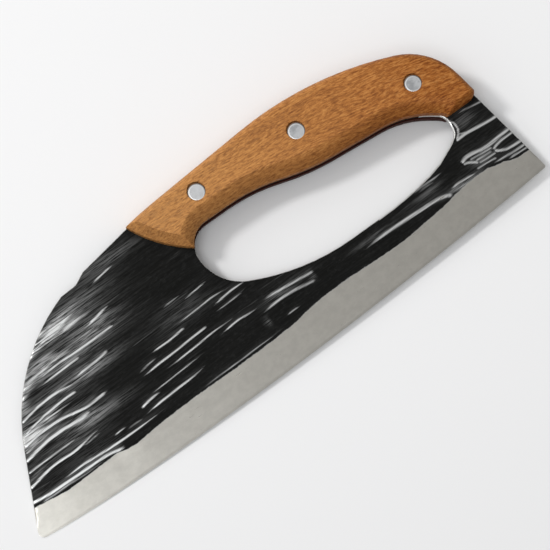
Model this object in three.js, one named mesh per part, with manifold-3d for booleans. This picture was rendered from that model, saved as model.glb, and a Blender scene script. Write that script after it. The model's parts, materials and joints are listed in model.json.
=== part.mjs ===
// A cleaver with a finger loop: one steel plate that is blade, loop and tang in a single piece,
// and two wooden scales held to the tang by three two-part rivets.
//
// Lengths are millimetres and angles are degrees. The knife is drawn in the plane of its blade:
// x runs along the cutting edge from tip to heel, y rises from the heel to the back of the grip,
// and z goes through the thickness. At the end it is laid on a table, +Z up.

import * as THREE from "three";
import { ConvexHull } from "three/addons/math/ConvexHull.js";
import { mergeVertices } from "three/addons/utils/BufferGeometryUtils.js";
import Module from "manifold-3d";

const wasm = await Module();
wasm.setup();

// Blade outline
const EDGE_LENGTH = 270; // tip to heel
const EDGE_BELLY = 6.8; // depth of the bowed edge below the heel, half way along its curve
const BELLY_TIP_PULL = 40; // how far the bow's curve is drawn out from the tip
const BELLY_HEEL_PULL = 110; // and from the heel
const TIP_DROP = 3.2; // the tip is this far below the heel
const TIP_RADIUS = 2.5;
const HEEL_RADIUS = 0.8;
const HEEL_LEAN = 8.5; // the heel leans forward of square by this angle
const NOSE_ANGLE = 64.4; // slope of the nose
const NOSE_RADIUS = 85;
const SPINE_RISE = 9.7; // slope of the spine from the nose to the grip
const SPINE_HEIGHT = 84.4; // heel to spine where the grip starts

// Hollow beaten into the spine ahead of the grip
const HOLLOW_PLACE = 195.6; // its deepest place, forward of the heel
const HOLLOW_DEPTH = 8.6; // and below the spine height
const HOLLOW_FRONT_RISE = 2.8; // slope of its floor from the nose to there
const HOLLOW_REAR_RISE = 27; // slope from there up to the spine
const HOLLOW_RADIUS = 6;

// Back of the grip, placed forward of the heel
const GRIP_START = 156.5;
const GRIP_START_RADIUS = 150;
const BACK_RISE = 4.4; // slope of the back from the grip's start to its crest
const CREST_PLACE = 61.5;
const CREST_RADIUS = 174;
const BUTT_FALL = 22.4; // slope of the back from the crest to the butt
const BUTT_RADIUS = 31;

// Roof of the finger loop: places are forward of the heel, depths are below the spine height
const LOOP_FRONT = 146.2; // front wall
const ROOF_DEPTH = 18.5; // grip over the forefinger
const ROOF_FRONT_RADIUS = 11.5;
const ROOF_BREAK = 110.4; // where the roof starts to fall
const ROOF_RADIUS = 84;
const SWELL_START = 84.5; // palm swell that hangs into the loop
const SWELL_START_DEPTH = 26.4;
const SWELL_START_RADIUS = 107;
const SWELL_END = 36.8;
const SWELL_END_DEPTH = 30.8;
const SWELL_END_RADIUS = 42;

// Floor of the finger loop: places are forward of the heel, heights are above it
const LOOP_BACK = 9.2; // where the lines of roof and floor would meet
const LOOP_BACK_HEIGHT = 33.6;
const LOOP_BACK_RADIUS = 8.5;
const FLOOR_REAR = 54.6; // where the floor turns up to the heel
const FLOOR_REAR_RADIUS = 164;
const FLOOR_HEIGHT = 23.5;
const FLOOR_FRONT = 112.8; // where the floor turns up to the front wall
const FLOOR_FRONT_RADIUS = 112;
const FRONT_WALL_FOOT = 40.5; // height where the floor's rise meets the front wall
const FRONT_WALL_RADIUS = 22;

// Blade section
const BLADE_THICKNESS = 2.5;
const BEVEL_WIDTH = 14; // ground bevel, from the edge to its shoulder
const BEVEL_FOOT_THICKNESS = 0.45; // thickness where the bevel meets the honed edge
const HONED_WIDTH = 0.9; // width of the honed edge
const EDGE_LAND = 0.12; // flat left on the very edge

// Hammer dents: long shallow dishes, in staggered rows along the blade, alike on both faces
const DENT_LENGTH = 52;
const DENT_WIDTH = 8;
const DENT_DEPTH = 0.3;
const DENT_PITCH = 44; // along a row
const DENT_ROW_PITCH = 6.6; // from row to row
const DENT_SPREAD = 0.28; // part of its length that a dent may differ and stray by
const DENT_CLEARANCE = 2.5; // left plain round the loop and the grip

// Scales
const SCALE_THICKNESS = 8;
const GLUE_LINE = 0.1; // gap between scale and tang
const FRONT_END_PLACE = 164; // top of the scales' front end, forward of the heel
const FRONT_END_ANGLE = 67; // slope of the front end where it leaves the spine
const FRONT_END_RADIUS = 58;
const BUTT_END_DEPTH = 42.2; // scales' rear end, below the spine height
const BUTT_END_RADIUS = 4; // where the rear end turns up beside the heel
const BUTT_END_SET_OUT = 0.5; // and how far outside the heel's side that turn ends
const SPINE_EASE = { width: 2.6, depth: 3.2 }; // rounding along the back
const FINGER_EASE = { width: 6.5, depth: 5 }; // rounding along the loop at the forefinger
const PALM_EASE = { width: 6, depth: 2.4 }; // and at the butt, with an even change between
const FRONT_EASE = { width: 4, depth: 3.8 }; // chamfer at the front end
const BUTT_EASE = { width: 3, depth: 4 }; // rounding at the rear end
const ROUND_BULGE = 0.5; // fullness of a rounding, where nought is a flat chamfer
const FINGER_BULGE = 0.4; // and of the rounding along the loop

// Rivets: places are forward of the heel, depths are below the spine height
const FORE_RIVET = { place: 131.1, depth: 6.5 };
const MIDDLE_RIVET = { place: 80.8, depth: 9.7 };
const BUTT_RIVET = { place: 27.3, depth: 22 };
const RIVET_HEAD_DIAMETER = 7.8;
const RIVET_HEAD_HEIGHT = 1.8;
const RIVET_TUBE_DIAMETER = 5.2; // outside of the female half
const RIVET_PIN_DIAMETER = 3.4; // male half
const RIVET_PIN_SPARE = 1; // bore left over beyond the pin's end
const RIVET_TUBE_SPARE = 1; // room between the tube's end and the far head
const RIVET_SINK = 0.05; // heads are ground this far below the wood
const HOLE_CLEARANCE = 0.15; // on the radius, rivet in wood and steel
const PIN_CLEARANCE = 0.05; // on the radius, pin in tube

// Finish of the mesh
const CHORD_ERROR = 0.05; // largest gap between an arc and its facets
const ROUND_SIDES = 24;
const EASE_STEPS = 4;
const DENT_STEPS = 2;
const DENT_SIDES = 14;
const EDGE_STEPS = 40;
const OVERCUT = 3; // how far a cutter reaches past what it cuts
const SAME_POINT = 1e-3; // points nearer than this are one

const STEEL_DENSITY = 7.85e-6; // kilograms per cubic millimetre
const WOOD_DENSITY = 0.7e-6;

const radians = THREE.MathUtils.degToRad;
const overHeel = (place, height) => new THREE.Vector2(EDGE_LENGTH - place, height);
const underSpine = (place, depth) => overHeel(place, SPINE_HEIGHT - depth);
const corner = (point, radius, pulls = null) => ({ point, radius, pulls });

// A number from -1 to 1 that differs from dent to dent, and is the same on every run.
const chance = (row, column, kind) => Math.sin(row * 12.9 + column * 7.8 + kind * 4.1);

// Places on the blade's outline that other features are built from
const TIP = new THREE.Vector2(0, -TIP_DROP);
const HEEL = new THREE.Vector2(EDGE_LENGTH, 0);
const GRIP_KNEE = underSpine(GRIP_START, 0);
const CREST = meet(GRIP_KNEE, BACK_RISE, overHeel(CREST_PLACE, 0), 90);
const BUTT = meet(CREST, -BUTT_FALL, HEEL, 90 + HEEL_LEAN);
const NOSE = meet(TIP, NOSE_ANGLE, GRIP_KNEE, SPINE_RISE);

const RIVETS = {
  fore: underSpine(FORE_RIVET.place, FORE_RIVET.depth),
  middle: underSpine(MIDDLE_RIVET.place, MIDDLE_RIVET.depth),
  butt: underSpine(BUTT_RIVET.place, BUTT_RIVET.depth),
};
const HALF_BLADE = BLADE_THICKNESS / 2;
const SCALE_INNER = HALF_BLADE + GLUE_LINE;
const SCALE_OUTER = SCALE_INNER + SCALE_THICKNESS;

// Where two lines cross, each given by a point and its slope.
function meet(a, slopeA, b, slopeB) {
  const u = new THREE.Vector2(Math.cos(radians(slopeA)), Math.sin(radians(slopeA)));
  const v = new THREE.Vector2(Math.cos(radians(slopeB)), Math.sin(radians(slopeB)));
  const reach = b.clone().sub(a).cross(v) / u.cross(v);
  return a.clone().addScaledVector(u, reach);
}

// Points of an arc that leaves `from` at a heading and turns left by `turn` radians (right if negative).
function arcPoints(from, heading, radius, turn) {
  const side = Math.sign(turn);
  const centre = new THREE.Vector2(
    from.x - side * radius * Math.sin(heading),
    from.y + side * radius * Math.cos(heading),
  );
  const facet = 2 * Math.acos(1 - Math.min(CHORD_ERROR / radius, 0.5));
  const steps = Math.max(2, Math.ceil(Math.abs(turn) / facet));
  return Array.from({ length: steps + 1 }, (_, i) => {
    const angle = heading - side * (Math.PI / 2) + (turn * i) / steps;
    return new THREE.Vector2(centre.x + radius * Math.cos(angle), centre.y + radius * Math.sin(angle));
  });
}

// A polyline through corners that are each rounded to their own radius. Where two neighbours want
// more than the side between them has, both are limited. A side with pulls is a bow, drawn towards
// those two points on its way to the next corner.
function roundedPath(corners, closed) {
  const count = corners.length;
  const at = (i) => corners[(i + count) % count];
  const isEnd = (i) => !closed && (i === 0 || i === count - 1);
  const turns = corners.map(({ point, radius, pulls }, i) => {
    const into = point.clone().sub(at(i - 1).pulls?.[1] ?? at(i - 1).point);
    const out = (pulls?.[0] ?? at(i + 1).point).clone().sub(point);
    const turn = Math.atan2(into.cross(out), into.dot(out));
    const half = Math.tan(Math.abs(turn) / 2);
    return { into, turn, half, setback: isEnd(i) ? 0 : radius * half };
  });
  const share = (i, j) => {
    const side = at(i).point.distanceTo(at(j).point);
    return side / Math.max(side, turns.at(i % count).setback + turns.at(j % count).setback);
  };
  const rounds = turns.map(({ into, turn, half, setback }, i) => {
    if (isEnd(i)) return [corners[i].point];
    const fits = setback * Math.min(share(i - 1, i), share(i, i + 1));
    const start = corners[i].point.clone().addScaledVector(into.clone().normalize(), -fits);
    return arcPoints(start, into.angle(), fits / half, turn);
  });
  const path = rounds.flatMap((round, i) => {
    const { pulls } = corners[i];
    if (!pulls) return round;
    const bow = new THREE.CubicBezierCurve(round.at(-1), pulls[0], pulls[1], rounds[(i + 1) % count][0]);
    return [...round, ...bow.getPoints(EDGE_STEPS).slice(1, -1)];
  });
  return path.filter((p, i) => p.distanceTo(path.at(i - 1)) > SAME_POINT);
}

// Corners of the whole steel plate, anticlockwise from the tip.
function plateCorners() {
  const pullHeight = (TIP_DROP - 8 * EDGE_BELLY) / 6; // takes the middle of a cubic to EDGE_BELLY
  const pulls = [new THREE.Vector2(BELLY_TIP_PULL, pullHeight), overHeel(BELLY_HEEL_PULL, pullHeight)];
  return [
    corner(TIP, TIP_RADIUS, pulls),
    corner(HEEL, HEEL_RADIUS),
    corner(BUTT, BUTT_RADIUS),
    corner(CREST, CREST_RADIUS),
    corner(GRIP_KNEE, GRIP_START_RADIUS),
    corner(NOSE, NOSE_RADIUS),
  ];
}

// Corners of the finger loop, clockwise from the foot of its front wall.
function loopCorners() {
  return [
    corner(overHeel(LOOP_FRONT, FRONT_WALL_FOOT), FRONT_WALL_RADIUS),
    corner(underSpine(LOOP_FRONT, ROOF_DEPTH), ROOF_FRONT_RADIUS),
    corner(underSpine(ROOF_BREAK, ROOF_DEPTH), ROOF_RADIUS),
    corner(underSpine(SWELL_START, SWELL_START_DEPTH), SWELL_START_RADIUS),
    corner(underSpine(SWELL_END, SWELL_END_DEPTH), SWELL_END_RADIUS),
    corner(overHeel(LOOP_BACK, LOOP_BACK_HEIGHT), LOOP_BACK_RADIUS),
    corner(overHeel(FLOOR_REAR, FLOOR_HEIGHT), FLOOR_REAR_RADIUS),
    corner(overHeel(FLOOR_FRONT, FLOOR_HEIGHT), FLOOR_FRONT_RADIUS),
  ];
}

// The scales' front end: an arc from above the spine, across the grip and into the loop.
function frontEndPath() {
  const spineTop = meet(GRIP_KNEE, SPINE_RISE, overHeel(FRONT_END_PLACE, 0), 90);
  const heading = radians(-FRONT_END_ANGLE);
  const along = new THREE.Vector2(Math.cos(heading), Math.sin(heading));
  const sweep = (2 * ROOF_DEPTH) / FRONT_END_RADIUS;
  const start = spineTop.clone().addScaledVector(along, -OVERCUT);
  return [start, ...arcPoints(spineTop, heading, FRONT_END_RADIUS, sweep)];
}

// The scales' rear end: a line from inside the loop that turns up and out through the heel's side.
function buttEndPath() {
  const start = underSpine(SWELL_END, BUTT_END_DEPTH);
  const outside = new THREE.Vector2(BUTT_END_SET_OUT, 0);
  const turn = meet(start, 0, HEEL, 90 + HEEL_LEAN).add(outside);
  const end = BUTT.clone().add(outside);
  return roundedPath([corner(start, 0), corner(turn, BUTT_END_RADIUS), corner(end, 0)], false).slice(0, -1);
}

// The part of the blade's plane that the scales cover, and some way beyond its back.
function gripZone() {
  const [frontEnd, buttEnd] = [frontEndPath(), buttEndPath()];
  const above = CREST.y + OVERCUT;
  return [
    ...frontEnd,
    ...buttEnd,
    new THREE.Vector2(EDGE_LENGTH + OVERCUT, buttEnd.at(-1).y),
    new THREE.Vector2(EDGE_LENGTH + OVERCUT, above),
    new THREE.Vector2(frontEnd[0].x, above),
  ];
}

// A closed mesh as a manifold solid with its faces pointing out.
function solidOf(geometry) {
  const bare = geometry.clone();
  bare.deleteAttribute("normal");
  bare.deleteAttribute("uv");
  const merged = mergeVertices(bare, SAME_POINT / 10);
  const triangles = merged.index.array;
  const build = (triVerts) =>
    new wasm.Manifold(
      new wasm.Mesh({ numProp: 3, vertProperties: merged.attributes.position.array, triVerts }),
    );
  const solid = build(new Uint32Array(triangles));
  return solid.volume() > 0 ? solid : build(new Uint32Array(triangles).reverse());
}

// A manifold solid back as a three.js geometry.
function geometryOf(solid) {
  const { vertProperties, triVerts } = solid.getMesh();
  const geometry = new THREE.BufferGeometry();
  geometry.setAttribute("position", new THREE.BufferAttribute(new Float32Array(vertProperties), 3));
  geometry.setIndex(new THREE.BufferAttribute(new Uint32Array(triVerts), 1));
  geometry.computeVertexNormals();
  return geometry;
}

// An outline, with any holes, as a slab from z = low to z = high.
function slab(outline, holes, low, high) {
  const shape = new THREE.Shape(outline);
  shape.holes = holes.map((points) => new THREE.Path(points));
  const geometry = new THREE.ExtrudeGeometry(shape, { depth: high - low, bevelEnabled: false });
  return solidOf(geometry.translate(0, 0, low));
}

// A solid skinned over a row of rings that all have the same number of points.
function skin(rings) {
  const size = rings[0].length;
  const positions = rings.flat().flatMap((p) => p.toArray());
  const triangles = [];
  for (let r = 0; r + 1 < rings.length; r++) {
    for (let i = 0; i < size; i++) {
      const [a, b] = [r * size + i, r * size + ((i + 1) % size)];
      triangles.push(a, b, b + size, a, b + size, a + size);
    }
  }
  const last = (rings.length - 1) * size;
  for (let i = 1; i + 1 < size; i++) {
    triangles.push(0, i + 1, i, last, last + i, last + i + 1);
  }
  const geometry = new THREE.BufferGeometry();
  geometry.setAttribute("position", new THREE.Float32BufferAttribute(positions, 3));
  geometry.setIndex(triangles);
  return solidOf(geometry);
}

// A solid turned about the z axis from a profile of [radius, height] pairs.
function turned(profile, sides = ROUND_SIDES) {
  const points = profile.map(([radius, height]) => new THREE.Vector2(radius, height));
  return solidOf(new THREE.LatheGeometry(points, sides).rotateX(Math.PI / 2));
}

// The hollow in the spine, and all that lies above it.
function spineHollow() {
  const deepest = underSpine(HOLLOW_PLACE, HOLLOW_DEPTH);
  const above = new THREE.Vector2(TIP.x, CREST.y + OVERCUT);
  const front = meet(deepest, HOLLOW_FRONT_RISE, above, 90);
  const rear = meet(deepest, HOLLOW_REAR_RISE, above, 0);
  const floor = roundedPath([corner(front, 0), corner(deepest, HOLLOW_RADIUS), corner(rear, 0)], false);
  return slab([...floor, above], [], -BLADE_THICKNESS, BLADE_THICKNESS);
}

// The wedge between the two ground bevels, wider than the plate above their shoulders.
function bevelWedge() {
  const [tip, heel] = plateCorners();
  const bow = new THREE.CubicBezierCurve(TIP, ...tip.pulls, heel.point).getPoints(EDGE_STEPS);
  const past = new THREE.Vector2(OVERCUT, 0);
  return skin([TIP.clone().sub(past), ...bow, HEEL.clone().add(past)].map(wedgeRing));
}

// Section of the wedge where the edge stands at a given point.
function wedgeRing({ x, y }) {
  const foot = BEVEL_FOOT_THICKNESS / 2;
  const keen = y - (HONED_WIDTH * EDGE_LAND) / (BEVEL_FOOT_THICKNESS - EDGE_LAND);
  const slope = (HALF_BLADE - foot) / (BEVEL_WIDTH - HONED_WIDTH);
  const shoulder = y + BEVEL_WIDTH + OVERCUT;
  const wide = HALF_BLADE + OVERCUT * slope;
  const top = CREST.y + OVERCUT;
  return [
    new THREE.Vector3(x, keen, 0),
    new THREE.Vector3(x, y + HONED_WIDTH, foot),
    new THREE.Vector3(x, shoulder, wide),
    new THREE.Vector3(x, top, wide),
    new THREE.Vector3(x, top, -wide),
    new THREE.Vector3(x, shoulder, -wide),
    new THREE.Vector3(x, y + HONED_WIDTH, -foot),
  ];
}

// One dent's cutter: a dish that a round hammer face leaves, drawn out along the blade.
function dentDish({ x, y, length, width }) {
  const arc = Array.from({ length: DENT_STEPS + 1 }, (_, i) => {
    const reach = i / DENT_STEPS;
    return [reach, HALF_BLADE - DENT_DEPTH * (1 - reach * reach)];
  });
  const rim = HALF_BLADE + OVERCUT;
  const dish = turned([...arc, [1, rim], [0, rim]], DENT_SIDES);
  return dish.scale([length / 2, width / 2, 1]).translate([x, y, 0]);
}

// The cutters of all dents in the front face. Near the loop and the grip a dent is shortened until
// it clears them, or is left out.
function dentDishes() {
  const loop = slab(roundedPath(loopCorners(), true), [], -HALF_BLADE, BLADE_THICKNESS);
  const plain = loop.add(slab(gripZone(), [], -HALF_BLADE, BLADE_THICKNESS));
  const rows = Math.ceil(CREST.y / DENT_ROW_PITCH);
  const columns = Math.ceil(EDGE_LENGTH / DENT_PITCH) + 1;
  const guard = 2 * DENT_CLEARANCE;
  const dishes = [];
  for (let row = 1; row < rows; row++) {
    for (let column = 0; column < columns; column++) {
      const x = (column + (row % 2) / 2 + DENT_SPREAD * chance(row, column, 0)) * DENT_PITCH;
      const y = row * DENT_ROW_PITCH;
      const clears = (length) =>
        dentDish({ x, y, length: length + guard, width: DENT_WIDTH + guard }).intersect(plain).isEmpty();
      const wanted = DENT_LENGTH * (1 + DENT_SPREAD * chance(row, column, 1));
      const length = [wanted, wanted / 2, wanted / 4].find(clears);
      if (length) dishes.push(dentDish({ x, y, length, width: DENT_WIDTH }));
    }
  }
  return dishes;
}

// A router cut along an edge of the wood: it takes off a rounding, or a chamfer if bulge is nought,
// that changes evenly from one ease to another along the path. The wood lies to the left of the
// path, and its outer face is at SCALE_THICKNESS.
function routerCut(path, startEase, endEase, bulge) {
  const length = path.reduce((sum, p, i) => sum + (i ? p.distanceTo(path[i - 1]) : 0), 0);
  let run = 0;
  const rings = path.map((p, i) => {
    run += i ? p.distanceTo(path[i - 1]) : 0;
    const width = THREE.MathUtils.lerp(startEase.width, endEase.width, run / length);
    const depth = THREE.MathUtils.lerp(startEase.depth, endEase.depth, run / length);
    const into = p.clone().sub(path[i - 1] ?? p).normalize();
    const out = (path[i + 1] ?? p).clone().sub(p).normalize();
    const along = into.clone().add(out).normalize();
    const mitre = 1 / along.dot(i ? into : out);
    const left = new THREE.Vector2(-along.y, along.x).multiplyScalar(mitre);
    return easeProfile(width, depth, bulge).map(
      ({ x, y }) => new THREE.Vector3(p.x + left.x * x, p.y + left.y * x, y),
    );
  });
  return skin(rings);
}

// Section of a router cut: x goes into the wood from its edge and y is height.
function easeProfile(width, depth, bulge) {
  const low = new THREE.Vector2(0, SCALE_THICKNESS - depth);
  const high = new THREE.Vector2(width, SCALE_THICKNESS);
  const pull = low.clone().lerp(high, 0.5).lerp(new THREE.Vector2(0, SCALE_THICKNESS), bulge);
  return [
    ...new THREE.QuadraticBezierCurve(low, pull, high).getPoints(EASE_STEPS),
    new THREE.Vector2(width, SCALE_THICKNESS + OVERCUT),
    new THREE.Vector2(-OVERCUT, SCALE_THICKNESS + OVERCUT),
    new THREE.Vector2(-OVERCUT, SCALE_THICKNESS - depth),
  ];
}

// One hole for a rivet's tube through wood or steel, from z = low to z = high.
function rivetHole({ x, y }, low, high) {
  const radius = RIVET_TUBE_DIAMETER / 2 + HOLE_CLEARANCE;
  const hole = turned([
    [0, low],
    [radius, low],
    [radius, high],
    [0, high],
  ]);
  return hole.translate([x, y, 0]);
}

// One seat in a scale's outer face for a rivet's head.
function headSeat({ x, y }) {
  const radius = RIVET_HEAD_DIAMETER / 2 + HOLE_CLEARANCE;
  const floor = SCALE_THICKNESS - RIVET_SINK - RIVET_HEAD_HEIGHT - GLUE_LINE;
  const seat = turned([
    [0, floor],
    [radius, floor],
    [radius, SCALE_THICKNESS + OVERCUT],
    [0, SCALE_THICKNESS + OVERCUT],
  ]);
  return seat.translate([x, y, 0]);
}

// The steel: blade, loop and tang, hammered, ground to an edge and drilled for the rivets.
function makeBlade() {
  const outline = roundedPath(plateCorners(), true);
  const loop = roundedPath(loopCorners(), true);
  const plate = slab(outline, [loop], -HALF_BLADE, HALF_BLADE);
  const front = dentDishes();
  const cuts = [
    spineHollow(),
    ...front,
    ...front.map((dish) => dish.mirror([0, 0, 1])),
    ...Object.values(RIVETS).map((rivet) => rivetHole(rivet, -BLADE_THICKNESS, BLADE_THICKNESS)),
  ];
  return cuts.reduce((steel, cut) => steel.subtract(cut), plate.intersect(bevelWedge()));
}

// One scale, lying on its glued face at z = 0 with its outer face up. It is sawn to the tang's own
// outline and loop, cut off at both ends, eased along every edge and drilled.
function makeScale() {
  const outline = roundedPath(plateCorners(), true);
  const loop = roundedPath(loopCorners(), true);
  const blank = slab(outline, [loop], 0, SCALE_THICKNESS);
  const sawn = blank.intersect(slab(gripZone(), [], -OVERCUT, SCALE_THICKNESS + OVERCUT));
  const back = roundedPath([...plateCorners().slice(1), corner(TIP, TIP_RADIUS)], false);
  const roof = roundedPath(loopCorners().slice(0, -1), false);
  const cuts = [
    routerCut(back, SPINE_EASE, SPINE_EASE, ROUND_BULGE),
    routerCut(roof, FINGER_EASE, PALM_EASE, FINGER_BULGE),
    routerCut(frontEndPath(), FRONT_EASE, FRONT_EASE, 0),
    routerCut(buttEndPath(), BUTT_EASE, SPINE_EASE, ROUND_BULGE),
    ...Object.values(RIVETS).map((rivet) => rivetHole(rivet, -OVERCUT, SCALE_THICKNESS)),
    ...Object.values(RIVETS).map(headSeat),
  ];
  return cuts.reduce((wood, cut) => wood.subtract(cut), sawn);
}

// The female half of a rivet: a flat head with a tube that reaches through the tang.
function makeTube() {
  const face = SCALE_OUTER - RIVET_SINK;
  const underHead = face - RIVET_HEAD_HEIGHT;
  const end = -underHead + RIVET_TUBE_SPARE;
  const bore = RIVET_PIN_DIAMETER / 2 + PIN_CLEARANCE;
  return turned([
    [0, underHead],
    [bore, underHead],
    [bore, end],
    [RIVET_TUBE_DIAMETER / 2, end],
    [RIVET_TUBE_DIAMETER / 2, underHead],
    [RIVET_HEAD_DIAMETER / 2, underHead],
    [RIVET_HEAD_DIAMETER / 2, face],
    [0, face],
  ]);
}

// The male half: the same head on the other side, with a pin that is pressed up the tube.
function makePin() {
  const face = -(SCALE_OUTER - RIVET_SINK);
  const overHead = face + RIVET_HEAD_HEIGHT;
  const end = -overHead - RIVET_PIN_SPARE;
  return turned([
    [0, face],
    [RIVET_HEAD_DIAMETER / 2, face],
    [RIVET_HEAD_DIAMETER / 2, overHead],
    [RIVET_PIN_DIAMETER / 2, overHead],
    [RIVET_PIN_DIAMETER / 2, end],
    [0, end],
  ]);
}

const forgedSteel = new THREE.MeshStandardMaterial({ color: 0x2a2a2a, roughness: 0.45, metalness: 0.9 });
const oiledWood = new THREE.MeshStandardMaterial({ color: 0xb0692f, roughness: 0.55, metalness: 0 });
const rivetSteel = new THREE.MeshStandardMaterial({ color: 0xb9bdc2, roughness: 0.3, metalness: 1 });

function piece(name, solid, material, density) {
  const mesh = new THREE.Mesh(geometryOf(solid), material);
  mesh.name = name;
  mesh.userData.density = density;
  return mesh;
}

// The whole knife in the plane of its blade.
function assemble() {
  const knife = new THREE.Group();
  const scale = makeScale();
  const frontScale = piece("front_scale", scale, oiledWood, WOOD_DENSITY);
  const rearScale = piece("rear_scale", scale, oiledWood, WOOD_DENSITY);
  frontScale.position.z = SCALE_INNER;
  rearScale.position.z = -SCALE_INNER;
  rearScale.scale.z = -1;
  knife.add(piece("blade", makeBlade(), forgedSteel, STEEL_DENSITY), frontScale, rearScale);
  for (const [name, { x, y }] of Object.entries(RIVETS)) {
    const tube = piece(`${name}_rivet_female`, makeTube(), rivetSteel, STEEL_DENSITY);
    const pin = piece(`${name}_rivet_male`, makePin(), rivetSteel, STEEL_DENSITY);
    for (const half of [tube, pin]) {
      half.position.set(x, y, 0);
      knife.add(half);
    }
  }
  return knife;
}

// Centre of mass of a group, from the signed volume under each triangle.
function massCentre(group) {
  group.updateMatrixWorld(true);
  const centre = new THREE.Vector3();
  let mass = 0;
  group.traverse((mesh) => {
    if (!mesh.isMesh) return;
    const { index, attributes } = mesh.geometry;
    const side = Math.sign(mesh.matrixWorld.determinant());
    const at = (i) => new THREE.Vector3().fromBufferAttribute(attributes.position, index.getX(i));
    for (let i = 0; i < index.count; i += 3) {
      const [a, b, c] = [at(i), at(i + 1), at(i + 2)].map((p) => p.applyMatrix4(mesh.matrixWorld));
      const part = (side * mesh.userData.density * a.dot(b.clone().cross(c))) / 6;
      centre.addScaledVector(a.add(b).add(c), part / 4);
      mass += part;
    }
  });
  return centre.divideScalar(mass);
}

// Lays a group on a table as it comes to rest: on the face of its convex hull that its centre of
// mass stands over. The middle of its footprint goes to the origin.
function layDown(group) {
  const centre = massCentre(group);
  const hull = new ConvexHull().setFromObject(group);
  const standsOver = (face) =>
    [0, 1, 2].every((i) => {
      const edge = face.getEdge(i);
      const [tail, head] = [edge.tail().point, edge.head().point];
      const inward = face.normal.clone().cross(head.clone().sub(tail));
      return inward.dot(centre.clone().sub(tail)) >= 0;
    });
  const down = new THREE.Vector3(0, 0, -1);
  const rest = hull.faces.filter(standsOver).sort((a, b) => b.normal.dot(down) - a.normal.dot(down))[0];
  group.quaternion.setFromUnitVectors(rest.normal, down);
  const box = new THREE.Box3().setFromObject(group, true);
  const middle = box.getCenter(new THREE.Vector3());
  group.position.set(-middle.x, -middle.y, -box.min.z);
  return group;
}

export default layDown(assemble());
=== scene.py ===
"""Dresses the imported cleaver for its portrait: hammered steel, oiled wood and polished rivets.

Objects are in metres in the row's frame. Shapes and patterns on the knife are worked out in the plane
of its blade, in millimetres: x runs from tip to heel, y from the edge to the grip, and z out of the
front face.
"""

import json
import logging
import math
from dataclasses import dataclass
from enum import Enum
from typing import Any, ClassVar, Iterable, Union

import bmesh
import bpy
import numpy as np
from mathutils import Matrix, Vector

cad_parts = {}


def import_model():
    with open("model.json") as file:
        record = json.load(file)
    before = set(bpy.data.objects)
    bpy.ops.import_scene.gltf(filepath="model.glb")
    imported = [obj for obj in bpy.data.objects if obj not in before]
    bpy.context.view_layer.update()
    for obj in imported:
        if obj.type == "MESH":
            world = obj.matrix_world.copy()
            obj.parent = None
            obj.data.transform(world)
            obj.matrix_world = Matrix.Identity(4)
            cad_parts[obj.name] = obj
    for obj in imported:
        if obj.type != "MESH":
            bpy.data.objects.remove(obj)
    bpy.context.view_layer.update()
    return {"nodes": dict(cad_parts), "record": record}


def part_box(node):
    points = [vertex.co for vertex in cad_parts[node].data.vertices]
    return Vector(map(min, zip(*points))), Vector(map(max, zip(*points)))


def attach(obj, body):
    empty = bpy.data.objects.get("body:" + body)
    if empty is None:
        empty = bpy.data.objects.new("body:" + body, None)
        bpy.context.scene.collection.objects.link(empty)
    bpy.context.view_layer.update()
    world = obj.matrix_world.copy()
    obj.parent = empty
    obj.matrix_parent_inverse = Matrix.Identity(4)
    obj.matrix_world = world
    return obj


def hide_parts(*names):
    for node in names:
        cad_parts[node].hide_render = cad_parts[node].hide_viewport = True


LOG = logging.getLogger("cleaver")
BODY = "root"
MILLIMETRE = 0.001
JOIN_DISTANCE = 0.002
SLIVER = 1e-4
ALONG_BLADE = (1.0, 0.0, 0.0)
PHOTO_WIDTH = 550

Number = Union[float, "Value"]
Colour = tuple[float, float, float, float]
Triple = tuple[float, float, float]
Point = tuple[float, float]
Box = tuple[Point, Point]


class Face(Enum):
    """The two sides of the blade, with the sign of z on each."""

    FRONT = 1
    REAR = -1


class RivetHalf(Enum):
    """The two halves that press together into one rivet, with the face that each head lies in."""

    FEMALE = Face.FRONT
    MALE = Face.REAR


def smoothstep(low: float, high: float, value: np.ndarray) -> np.ndarray:
    """Ease from 0 to 1 between two limits.

    Args:
        low: Value where the result is 0.
        high: Value where the result is 1.
        value: Numbers to ease.

    Returns:
        The eased numbers.
    """
    share = np.clip((value - low) / (high - low), 0.0, 1.0)
    return share * share * (3.0 - 2.0 * share)


def inside(box: Box, x: np.ndarray, y: np.ndarray) -> np.ndarray:
    """Return which places lie in a box on the blade."""
    (x0, y0), (x1, y1) = box
    return (x > x0) & (x < x1) & (y > y0) & (y < y1)


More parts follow.
